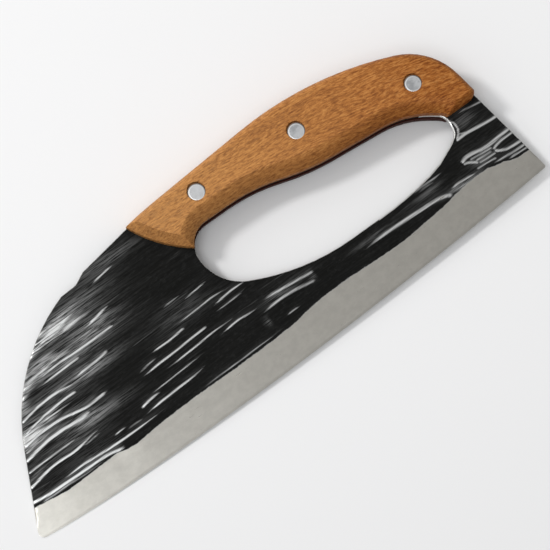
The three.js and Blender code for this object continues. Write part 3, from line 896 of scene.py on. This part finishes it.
# Broad crests near the nose that are only half bare, partly painted sheen
GLOWS = (
    Ridge(((14, 32.0), (24, 33.4), (34, 33.4)), 1.5, 1.0, (1, 9)),
    Ridge(((38, 61.6), (44, 63.2), (50, 63.8), (56, 64.6), (62, 66.2), (69, 67.4)), 2.2, 1.4, (1, 5)),
    Ridge(((40, 62.4), (50, 62.6), (58, 62.6), (66, 63.4), (76, 62.8)), 1.0, 1.1, (1, 9)),
    Ridge(((46, 66.0), (54, 67.6), (62, 68.8), (72, 69.6)), 1.2, 0.6, (1, 8)),
    Ridge(((26, 48.0), (32, 51.4), (40, 53.6), (50, 54.8), (60, 54.6)), 2.2, 0.9, (1, 9)),
    Ridge(((28, 52.0), (36, 56.4), (46, 57.6), (56, 57.0)), 1.6, 0.5, (1, 9)),
    Ridge(((16, 34.6), (24, 35.8), (34, 36.0), (46, 36.2)), 1.5, 0.9, (1, 10)),
    Ridge(((16, 29.4), (22, 30.6), (32, 31.0)), 1.1, 0.7, (1, 8)),
    Ridge(((10, 18.6), (16, 19.8), (26, 20.0)), 0.8, 0.3, (1, 8)),
    Ridge(((10, 8.9), (26, 8.4), (46, 7.8)), 0.6, 0.6, (1, 3)),
)

# Places where the skin is rubbed thin and shows grey, partly painted sheen
SHEENS = (
    Patch((58, 66.5), (14, 3.0), 0.3),
    Patch((50, 60.0), (26, 12.0), 0.12),
    Patch((57, 52.2), (21, 2.6), 0.22),
    Patch((57, 42.6), (13, 2.4), 0.42),
    Patch((47, 26.0), (8, 2.8), 0.4),
    Patch((70, 57.0), (9, 2.8), 0.5),
    Patch((60, 25.0), (9, 2.0), 0.12),
    Patch((22, 36.5), (5, 4.0), 0.3),
    Patch((26, 46.0), (3, 4.0), 0.4),
    Patch((34, 30.0), (18, 14.0), 0.08),
    Patch((92, 77.0), (14, 2.5), 0.2),
    Patch((74, 70.0), (12, 4.0), 0.14),
    Patch((131.5, 15.5), (0.8, 1.8), 0.3),
    Patch((158.5, 19.8), (0.7, 1.6), 0.35),
    Patch((104, 40.0), (12, 5.0), 0.08),
    Patch((221, 20.6), (7, 1.8), 0.12),
    Patch((147, 22.6), (9, 1.3), 0.2),
    Patch((250, 19.2), (6, 2.4), 0.14),
    Patch((236, 14.6), (7, 1.0), 0.55),
    Patch((253, 37.6), (5, 3.2), 0.14),
    Patch((186, 18.6), (8, 1.0), 0.1),
)


@dataclass
class Blade:
    """The steel: hammered faces, a ground bevel, and the loop with its eased rim."""

    frame: BladeFrame
    half_thickness: float = 1.25
    hammered_depth: float = 0.22
    edge_length: float = 270.0
    edge_belly: float = 6.8
    tip_drop: float = 3.2
    tip_pull: float = 40.0
    heel_pull: float = 110.0
    honed_width: float = 0.9
    foot_half: float = 0.225
    land_half: float = 0.06
    rim_widths: Point = (0.3, 0.4)
    rim_drops: Point = (0.34, 0.1)
    column_step: float = 1.6
    row_step: float = 0.32
    fine_from: float = 238.0
    fine_step: float = 0.55
    grid: Box = ((-4.0, -12.0), (275.0, 95.0))
    section_join: float = 0.05
    section_angle: float = 0.2
    crease: float = 50.0
    grip_front: Box = ((106.0, 84.5), (124.5, 60.0))
    grip_ease: Point = (1.0, 5.0)
    grip_rise: Point = (42.0, 50.0)
    shoulder: tuple[Point, ...] = (
        (4, 9.4),
        (12, 8.2),
        (22, 6.8),
        (35, 7.1),
        (47, 7.6),
        (52, 6.3),
        (57, 5.9),
        (63, 6.5),
        (72, 7.2),
        (88, 7.6),
        (110, 7.4),
        (130, 7.8),
        (141, 8.4),
        (148, 9.6),
        (156, 10.4),
        (172, 10.6),
        (180, 10.2),
        (190, 9.8),
        (200, 9.7),
        (206, 10.2),
        (213, 10.9),
        (220, 11.4),
        (226, 12.2),
        (230, 13.1),
        (236, 13.8),
        (243, 14.2),
        (249, 14.1),
        (252, 13.0),
        (256, 12.4),
        (259, 11.0),
        (262, 10.3),
        (270, 10.1),
    )
    shoulder_ease: Point = (0.5, 4.0)
    relief_spread: float = 2.6
    least_relief: float = 0.4
    veil_share: float = 0.2
    veil_loss: float = 0.6
    veil_span: Point = (50.0, 85.0)
    thin_steel: Point = (0.4, 1.0)
    dull_roof: Box = ((124.0, 36.0), (238.0, 66.0))
    bright_rim: Box = ((196.0, 14.0), (248.0, 52.0))
    bright_gain: float = 3.5
    bright_drop: float = 0.4
    loop_fills: tuple[tuple[Patch, Point], ...] = (
        (Patch((245.0, 30.3), (10.0, 5.0), 2.8), (-0.8, 0.6)),
        (Patch((249.5, 37.5), (5.0, 5.0), 2.2), (-0.95, -0.3)),
    )
    loose_ridges: int = 60
    loose_anywhere: Point = (8.0, 262.0)
    loose_on_nose: Point = (8.0, 110.0)
    loose_heights: Point = (9.0, 80.0)
    loose_lengths: Point = (14.0, 50.0)
    seed: int = 7

    def edge_height(self, x: np.ndarray) -> np.ndarray:
        """Work out the cutting edge, a cubic bow from tip to heel.

        Args:
            x: Places along the blade.

        Returns:
            The edge's height at each place.
        """
        share = np.linspace(0.0, 1.0, 121)
        pull = (self.tip_drop - 8.0 * self.edge_belly) / 6.0
        weights = ((1 - share) ** 3, 3 * (1 - share) ** 2 * share, 3 * (1 - share) * share**2, share**3)
        along = (0.0, self.tip_pull, self.edge_length - self.heel_pull, self.edge_length)
        up = (-self.tip_drop, pull, pull, 0.0)
        bow_x = sum(weight * place for weight, place in zip(weights, along))
        bow_y = sum(weight * height for weight, height in zip(weights, up))
        return np.interp(x, bow_x, bow_y)

    def plain_share(self, x: np.ndarray, y: np.ndarray) -> np.ndarray:
        """Work out where the steel stays at full thickness for the grip.

        Args:
            x: Places along the blade.
            y: Heights on the blade.

        Returns:
            Numbers from 0, where the steel is hammered, to 1, where it is plain.
        """
        (x0, y0), (x1, y1) = self.grip_front
        length = math.hypot(x1 - x0, y1 - y0)
        ahead = ((x - x0) * (y1 - y0) - (y - y0) * (x1 - x0)) / length
        return (1.0 - smoothstep(*self.grip_ease, ahead)) * smoothstep(*self.grip_rise, y)

    def all_ridges(self, face: Face) -> list[Ridge]:
        """List the chosen ridges, and faint ones scattered between them.

        Args:
            face: The side of the blade. Each has its own scatter.

        Returns:
            The ridges of that side.
        """
        chance = np.random.default_rng(self.seed + face.value)
        found = list(RIDGES)
        for _ in range(self.loose_ridges):
            span = self.loose_anywhere if chance.random() < 0.5 else self.loose_on_nose
            x = chance.uniform(*span)
            y = chance.uniform(*self.loose_heights)
            length = chance.uniform(*self.loose_lengths)
            slope, bow = chance.uniform(-0.03, 0.04), chance.uniform(-0.6, 0.8)
            ends = (x - length / 2, y - slope * length / 2), (x + length / 2, y + slope * length / 2)
            shine, width = chance.uniform(0.06, 0.22), chance.uniform(0.22, 0.4)
            fade = length * 0.4
            found.append(Ridge((ends[0], (x, y + bow), ends[1]), width, shine, (fade, fade)))
        return found

    def surface(self, x: np.ndarray, y: np.ndarray, face: Face) -> dict[str, np.ndarray]:
        """Work out one face of the steel.

        Args:
            x: Places along the blade.
            y: Heights on the blade.
            face: The side of the blade.

        Returns:
            The half thickness, and the masks that the finish reads: lift is how far the skin would
            stand above the ground bevel, ridge is bare crests and rub_and_sheen is rubbed patches,
            partly painted sheen.
        """
        crest, ridge, rub_and_sheen = np.zeros_like(x), np.zeros_like(x), np.zeros_like(x)
        # The veils above the crests, the glows and the patches are rubbed skin, partly painted sheen.
        veil_share = self.veil_share * (1.0 - self.veil_loss * smoothstep(*self.veil_span, x))
        for stroke in self.all_ridges(face):
            height = min(1.0, self.least_relief + stroke.shine)
            crest = np.maximum(crest, stroke.shares(x, y, self.relief_spread)[0] * height)
            line, veil = stroke.shares(x, y, 1.0)
            ridge = np.maximum(ridge, line * stroke.shine)
            rub_and_sheen = np.maximum(rub_and_sheen, veil * stroke.shine * veil_share)
        for stroke in GLOWS:
            rub_and_sheen = np.maximum(rub_and_sheen, stroke.shares(x, y, 1.0)[0] * stroke.shine)
        rub_and_sheen = rub_and_sheen + sum(patch.cover(x, y) for patch in SHEENS)

        plain = self.plain_share(x, y)
        above = y - self.edge_height(x)
        shoulder = np.interp(x, *np.array(self.shoulder).T) - self.edge_height(x)
        crest = crest * smoothstep(*self.shoulder_ease, above - shoulder)
        skin = self.half_thickness - self.hammered_depth * (1.0 - crest) * (1.0 - plain)
        base = self.half_thickness - self.hammered_depth
        slope = (base - self.foot_half) / (shoulder - self.honed_width)
        bevel = self.foot_half + (above - self.honed_width) * slope
        honing = (self.foot_half - self.land_half) / self.honed_width
        bevel = np.minimum(bevel, self.land_half + np.maximum(above, 0.0) * honing)
        return {
            "half": np.minimum(skin, bevel),
            "lift": skin - bevel,
            "ridge": ridge * (1.0 - plain),
            "rub_and_sheen": rub_and_sheen * (1.0 - plain),
        }

    def sheet(self, node: bpy.types.Object) -> bmesh.types.BMesh:
        """Cut the node along the blade's middle plane and fill the cut with a fine grid.

        Args:
            node: The CAD blade.

        Returns:
            A flat sheet with the node's outline, its loop and its rivet holes. Its layer "drop" says
            how far each point near a rim lies below the face.
        """
        bm = copy_of_node(node, self.frame)
        everything = bm.verts[:] + bm.edges[:] + bm.faces[:]
        middle = {"plane_co": (0.0, 0.0, 0.0), "plane_no": (0.0, 0.0, 1.0)}
        bmesh.ops.bisect_plane(bm, geom=everything, clear_inner=True, clear_outer=True, **middle)
        bmesh.ops.remove_doubles(bm, verts=bm.verts, dist=self.section_join)
        straight = math.radians(self.section_angle)
        bmesh.ops.dissolve_limit(bm, angle_limit=straight, verts=bm.verts, edges=bm.edges)
        for vert in bm.verts:
            x, y = vert.co.xy
            for fill, heading in self.loop_fills:
                vert.co += Vector((*heading, 0.0)) * float(fill.cover(x, y))
        bmesh.ops.triangle_fill(bm, use_beauty=True, edges=bm.edges[:], normal=(0.0, 0.0, 1.0))
        inner = set(bm.faces)
        for width in self.rim_widths:
            rim = {"use_boundary": True, "use_even_offset": True, "thickness": width}
            bmesh.ops.inset_region(bm, faces=list(inner), **rim)
        drop = bm.verts.layers.float.new("drop")
        flat = {vert for face in inner for vert in face.verts}
        for vert in bm.verts:
            vert[drop] = 0.0 if vert in flat else self.rim_drops[0 if vert.is_boundary else 1]
        for edge in bm.edges:
            edge.seam = all(face in inner for face in edge.link_faces)
        (x0, y0), (x1, y1) = self.grid
        coarse = np.arange(x0, self.fine_from, self.column_step)
        cut_across(bm, 0, [*coarse, *np.arange(self.fine_from, x1, self.fine_step)])
        bmesh.ops.dissolve_edges(bm, edges=[edge for edge in bm.edges if edge.seam], use_verts=True)
        cut_across(bm, 1, np.arange(y0, y1, self.row_step))
        return bm

    def build(self, node: bpy.types.Object, material: bpy.types.Material) -> bpy.types.Object:
        """Build the blade and dress it.

        Args:
            node: The CAD blade that it stands for.
            material: The forged steel.

        Returns:
            The finished piece.
        """
        bm = self.sheet(node)
        masks = {name: bm.verts.layers.float.new(name) for name in ("lift", "ridge", "rub_and_sheen", "bare")}
        made = bmesh.ops.extrude_face_region(bm, geom=bm.faces[:])["geom"]
        front = {item for item in made if isinstance(item, bmesh.types.BMVert)}
        rear = [vert for vert in bm.verts if vert not in front]
        drop = bm.verts.layers.float["drop"]
        for face, verts in ((Face.FRONT, list(front)), (Face.REAR, rear)):
            x = np.array([vert.co.x for vert in verts])
            y = np.array([vert.co.y for vert in verts])
            steel = self.surface(x, y, face)
            rim = np.array([vert[drop] for vert in verts]) * smoothstep(*self.thin_steel, steel["half"])
            bright = inside(self.bright_rim, x, y)
            share = np.minimum(1.0, np.where(bright, self.bright_gain, 1.0) * rim / self.rim_drops[0])
            steel["bare"] = np.where(inside(self.dull_roof, x, y), 0.0, share)
            rim = rim * np.where(bright, self.bright_drop, 1.0)
            for index, vert in enumerate(verts):
                vert.co.z = face.value * (steel["half"][index] - rim[index])
                for name, layer in masks.items():
                    vert[layer] = steel[name][index]
        bmesh.ops.recalc_face_normals(bm, faces=bm.faces)
        piece = make_piece("hammered_blade", bm, self.frame, material, self.crease)
        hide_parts("blade")
        return piece


@dataclass
class Grip:
    """One wooden scale, with soft edges and with painted shade on the wood along the loop and at the ends.

    The side that faces the loop gets painted shade, from 0 to 1, and stands proud of the tang.
    """

    frame: BladeFrame
    side_shade: float
    proud: float
    grid: Box = ((95.0, 30.0), (275.0, 100.0))
    grid_step: float = 0.9
    flat_angle: float = 1.0
    soft_edge: float = 0.8
    fine_edge: float = 0.2
    soft_angle: float = 30.0
    glued_height: float = 3.0
    rivet_reach: float = 4.6
    steps: int = 3
    crease: float = 40.0
    # Painted shade: the wood is darker below this line along the loop, towards the butt, on the ends and
    # on the sides that face the loop.
    shade_line: tuple[Point, ...] = (
        (118.0, 61.0),
        (124.0, 66.6),
        (128.0, 68.6),
        (146.0, 70.2),
        (165.0, 66.8),
        (205.0, 60.0),
        (239.0, 51.5),
        (249.0, 47.0),
        (262.0, 43.0),
    )
    shade_blur: float = 0.6
    band_shade: float = 0.15
    butt_span: Point = (228.0, 256.0)
    butt_shade: float = 0.1
    end_slopes: Point = (0.2857, 0.7857)
    end_shade: float = 0.3
    side_slopes: Point = (0.14, 0.45)
    side_spread: float = 0.2
    proud_slopes: Point = (0.2, 0.6)

    def sand(self, bm: bmesh.types.BMesh, rivets: list[Point]) -> None:
        """Round the edges of a scale, but leave the seats of the rivets crisp.

        Args:
            bm: The scale in the blade's frame.
            rivets: Places of the rivets.
        """
        soft, fine = [], []
        for edge in bm.edges:
            middle = (edge.verts[0].co + edge.verts[1].co) / 2
            near = any(math.hypot(middle.x - x, middle.y - y) < self.rivet_reach for x, y in rivets)
            if near or edge.calc_face_angle(0.0) < math.radians(self.soft_angle):
                continue
            (fine if abs(middle.z) < self.glued_height else soft).append(edge)
        shared = {"affect": "EDGES", "segments": self.steps, "profile": 0.5, "material": -1}
        bmesh.ops.bevel(bm, geom=soft, offset=self.soft_edge, clamp_overlap=True, **shared)
        fine = [edge for edge in fine if edge.is_valid]
        bmesh.ops.bevel(bm, geom=fine, offset=self.fine_edge, clamp_overlap=True, **shared)

    def painted_shade_at(self, vert: bmesh.types.BMVert) -> float:
        """Work out the painted shade on the wood.

        Args:
            vert: A point of the scale, with its normal.

        Returns:
            The painted shade, from 0 to 1.
        """
        below = float(np.interp(vert.co.x, *np.array(self.shade_line).T)) - vert.co.y
        # The rear scale's strip below the line, along the tang under the blade, gets full painted shade.
        if self.proud and below > 0.0 and abs(vert.co.z) < self.glued_height:
            return self.side_shade
        worn = self.band_shade * float(smoothstep(-self.shade_blur, self.shade_blur, below))
        butt = self.butt_shade * float(smoothstep(*self.butt_span, vert.co.x))
        ends = self.end_shade * float(smoothstep(*self.end_slopes, abs(vert.normal.x)))
        slight, steep = self.side_slopes
        side = float(smoothstep(slight, steep - self.side_spread * self.side_shade, -vert.normal.y))
        return max(worn + butt, ends, self.side_shade * side)

    def build(
        self, node: bpy.types.Object, rivets: list[Point], material: bpy.types.Material
    ) -> bpy.types.Object:
        """Build the scale and dress it.

        Args:
            node: The CAD scale that it stands for.
            rivets: Places of the rivets.
            material: The wood.

        Returns:
            The finished piece.
        """
        bm = copy_of_node(node, self.frame)
        flat = math.radians(self.flat_angle)
        bmesh.ops.dissolve_limit(bm, angle_limit=flat, verts=bm.verts, edges=bm.edges)
        self.sand(bm, rivets)
        for axis, (start, end) in enumerate(zip(*self.grid)):
            cut_across(bm, axis, np.arange(start, end, self.grid_step))
        bmesh.ops.recalc_face_normals(bm, faces=bm.faces)
        bm.normal_update()
        # A layer of painted shade, which the wood reads.
        painted_shade = bm.verts.layers.float.new("painted_shade")
        for vert in bm.verts:
            vert[painted_shade] = self.painted_shade_at(vert)
            vert.co.y -= self.proud * float(smoothstep(*self.proud_slopes, -vert.normal.y))
        piece = make_piece(f"sanded_{node.name}", bm, self.frame, material, self.crease)
        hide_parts(node.name)
        return piece


@dataclass
class Rivet:
    """One half of a two-part rivet: a flush head with a tube or a pin."""

    frame: BladeFrame
    place: Point
    half: RivetHalf
    head_radius: float = 3.85
    head_height: float = 1.8
    face_height: float = 9.3
    tube_radius: float = 2.6
    bore_radius: float = 1.75
    pin_radius: float = 1.7
    spare: float = 1.0
    rim: float = 0.45
    rim_drop: float = 0.12
    bright_rims: float = 1.8
    dark_edge_rims: float = 0.9
    sides: int = 64
    crease: float = 35.0

    def profile(self) -> list[Point]:
        """Draw half of the section, from the axis round to the axis.

        Returns:
            The radius and height of each corner.
        """
        face, under = self.face_height, self.face_height - self.head_height
        head = [
            (0.0, face),
            (self.head_radius - 2.0 * self.rim, face),
            (self.head_radius - 1.7 * self.rim, face),
            (self.head_radius - 1.0 * self.rim, face),
            (self.head_radius - 0.8 * self.rim, face - self.rim_drop / 3),
            (self.head_radius, face - self.rim_drop),
            (self.head_radius, under),
        ]
        end = -under + self.spare
        if self.half is RivetHalf.MALE:
            return head + [(self.pin_radius, under), (self.pin_radius, end), (0.0, end)]
        tube = [(self.tube_radius, under), (self.tube_radius, end)]
        return head + tube + [(self.bore_radius, end), (self.bore_radius, under), (0.0, under)]

    def build(self, node: bpy.types.Object, material: bpy.types.Material) -> bpy.types.Object:
        """Build the half and dress it.

        Args:
            node: The CAD half that it stands for.
            material: The rivet steel.

        Returns:
            The finished piece.
        """
        bm = bmesh.new()
        verts = [bm.verts.new((radius, 0.0, height)) for radius, height in self.profile()]
        edges = [bm.edges.new(pair) for pair in zip(verts, verts[1:])]
        turn = {"axis": (0.0, 0.0, 1.0), "cent": (0.0, 0.0, 0.0), "angle": math.tau}
        bmesh.ops.spin(bm, geom=verts + edges, steps=self.sides, use_merge=True, **turn)
        bmesh.ops.remove_doubles(bm, verts=bm.verts, dist=JOIN_DISTANCE / 4)
        rim, dark_edge = (bm.verts.layers.float.new(name) for name in ("rim", "dark_edge"))
        for vert in bm.verts:
            inward = (self.head_radius - math.hypot(vert.co.x, vert.co.y)) / self.rim
            vert[rim] = 1.0 if inward < self.bright_rims else 0.0
            vert[dark_edge] = 1.0 if inward < self.dark_edge_rims else 0.0
        side = self.half.value.value
        bmesh.ops.scale(bm, vec=(1.0, 1.0, side), verts=bm.verts)
        bmesh.ops.translate(bm, vec=(*self.place, 0.0), verts=bm.verts)
        bmesh.ops.recalc_face_normals(bm, faces=bm.faces)
        piece = make_piece(f"polished_{node.name}", bm, self.frame, material, self.crease)
        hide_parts(node.name)
        return piece


@dataclass
class Studio:
    """The pale table, soft light, and the camera at the photo's viewing angle."""

    elevation: float = 75.0
    azimuth: float = 36.2
    distance: float = 0.95
    scale: float = 2.3256
    origin_pixel: Point = (239.34, 272.1)
    sensor: float = 36.0
    table_width: float = 6.0
    table_cells: int = 8
    horizon: float = 0.57
    zenith: float = 0.54
    bright_side: Triple = (-0.66, 0.75, 0.0)
    side_share: float = 0.6
    key_direction: Triple = (-0.48, 0.5, 0.73)
    key_distance: float = 2.0
    key_size: float = 0.36
    key_power: float = 14.0
    key_colour: Triple = (1.0, 1.0, 1.0)
    overhead_place: Triple = (-0.78, -0.46, 2.0)
    overhead_size: float = 1.1
    overhead_power: float = 10.5
    overhead_colour: Triple = (0.93, 0.965, 1.0)

    def add_camera(self) -> None:
        """Place the camera so that the row's origin falls on its pixel."""
        lift, turn = math.radians(self.elevation), math.radians(self.azimuth)
        back = Vector((-math.sin(turn) * math.cos(lift), -math.cos(turn) * math.cos(lift), math.sin(lift)))
        right = Vector((0.0, 0.0, 1.0)).cross(back).normalized()
        up = back.cross(right)
        data = bpy.data.cameras.new("camera")
        data.sensor_width = self.sensor
        data.lens = self.sensor * self.distance / MILLIMETRE * self.scale / PHOTO_WIDTH
        data.shift_x = 0.5 - self.origin_pixel[0] / PHOTO_WIDTH
        data.shift_y = self.origin_pixel[1] / PHOTO_WIDTH - 0.5
        camera = bpy.data.objects.new("camera", data)
        pose = Matrix((right, up, back)).transposed().to_4x4()
        camera.matrix_world = Matrix.Translation(back * self.distance) @ pose
        bpy.context.scene.collection.objects.link(camera)
        bpy.context.scene.camera = camera

    def add_lamp(self, name: str, place: Vector, size: float, power: float, colour: Triple) -> None:
        """Add a round lamp that faces the knife.

        Args:
            name: The lamp's name.
            place: Where it stands, in metres.
            size: Its diameter, in metres.
            power: Its power in watts.
            colour: The colour of its light.
        """
        data = bpy.data.lights.new(name, "AREA")
        data.shape = "DISK"
        data.size = size
        data.energy = power
        data.color = colour
        lamp = bpy.data.objects.new(name, data)
        lamp.location = place
        lamp.rotation_euler = place.to_track_quat("Z", "Y").to_euler()
        bpy.context.scene.collection.objects.link(lamp)

    def add_world(self) -> None:
        """Light the room softly: paler towards the horizon than overhead, and on the key's side."""
        world = bpy.data.worlds.new("studio")
        bpy.context.scene.world = world
        graph = Graph(world)
        direction = graph.add("ShaderNodeTexCoord").outputs["Generated"]
        height = graph.along(direction, (0.0, 0.0, 1.0)).clamped()
        level = self.horizon + height * (self.zenith - self.horizon)
        side = graph.along(direction, self.bright_side) * self.side_share + 1.0
        light = graph.add("ShaderNodeBackground", None, {"Color": level * side})
        graph.add("ShaderNodeOutputWorld", None, {"Surface": light.outputs[0]})

    def build(self) -> None:
        """Set the whole stage."""
        bpy.context.scene.view_settings.view_transform = "Standard"
        bm = bmesh.new()
        cells = {"x_segments": self.table_cells, "y_segments": self.table_cells}
        bmesh.ops.create_grid(bm, size=self.table_width / 2, **cells)
        mesh = bpy.data.meshes.new("table")
        bm.to_mesh(mesh)
        bm.free()
        mesh.materials.append(PaleTable().make())
        table = bpy.data.objects.new("table", mesh)
        bpy.context.scene.collection.objects.link(table)
        self.add_world()
        key = Vector(self.key_direction).normalized() * self.key_distance
        overhead = Vector(self.overhead_place)
        self.add_lamp("key", key, self.key_size, self.key_power, self.key_colour)
        self.add_lamp("overhead", overhead, self.overhead_size, self.overhead_power, self.overhead_colour)
        self.add_camera()


def main() -> None:
    """Build every piece of the knife and the stage around it."""
    logging.basicConfig(level=logging.INFO, format="%(message)s")
    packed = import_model()
    nodes = packed["nodes"]
    frame = BladeFrame.from_record(packed["record"])
    into_blade = frame.to_row.inverted()

    Studio().build()
    pieces = [Blade(frame).build(nodes["blade"], ForgedSteel().make(frame))]
    rivet_steel = RivetSteel().make(frame)
    places: list[Point] = []
    for name in ("fore", "middle", "butt"):
        low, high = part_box(f"{name}_rivet_female")
        centre = into_blade @ ((low + high) / 2)
        places.append((centre.x, centre.y))
        for half in RivetHalf:
            node = nodes[f"{name}_rivet_{half.name.lower()}"]
            pieces.append(Rivet(frame, places[-1], half).build(node, rivet_steel))
    wood = OiledWood().make(frame)
    # The rear scale lies under the blade, so it gets the deepest painted shade.
    front, rear = Grip(frame, side_shade=0.32, proud=0.0), Grip(frame, side_shade=1.0, proud=0.5)
    for name, grip in (("front_scale", front), ("rear_scale", rear)):
        pieces.append(grip.build(nodes[name], places, wood))

    for piece in pieces:
        LOG.info("%s: %d faces", piece.name, len(piece.data.polygons))


if __name__ == "__main__":
    main()
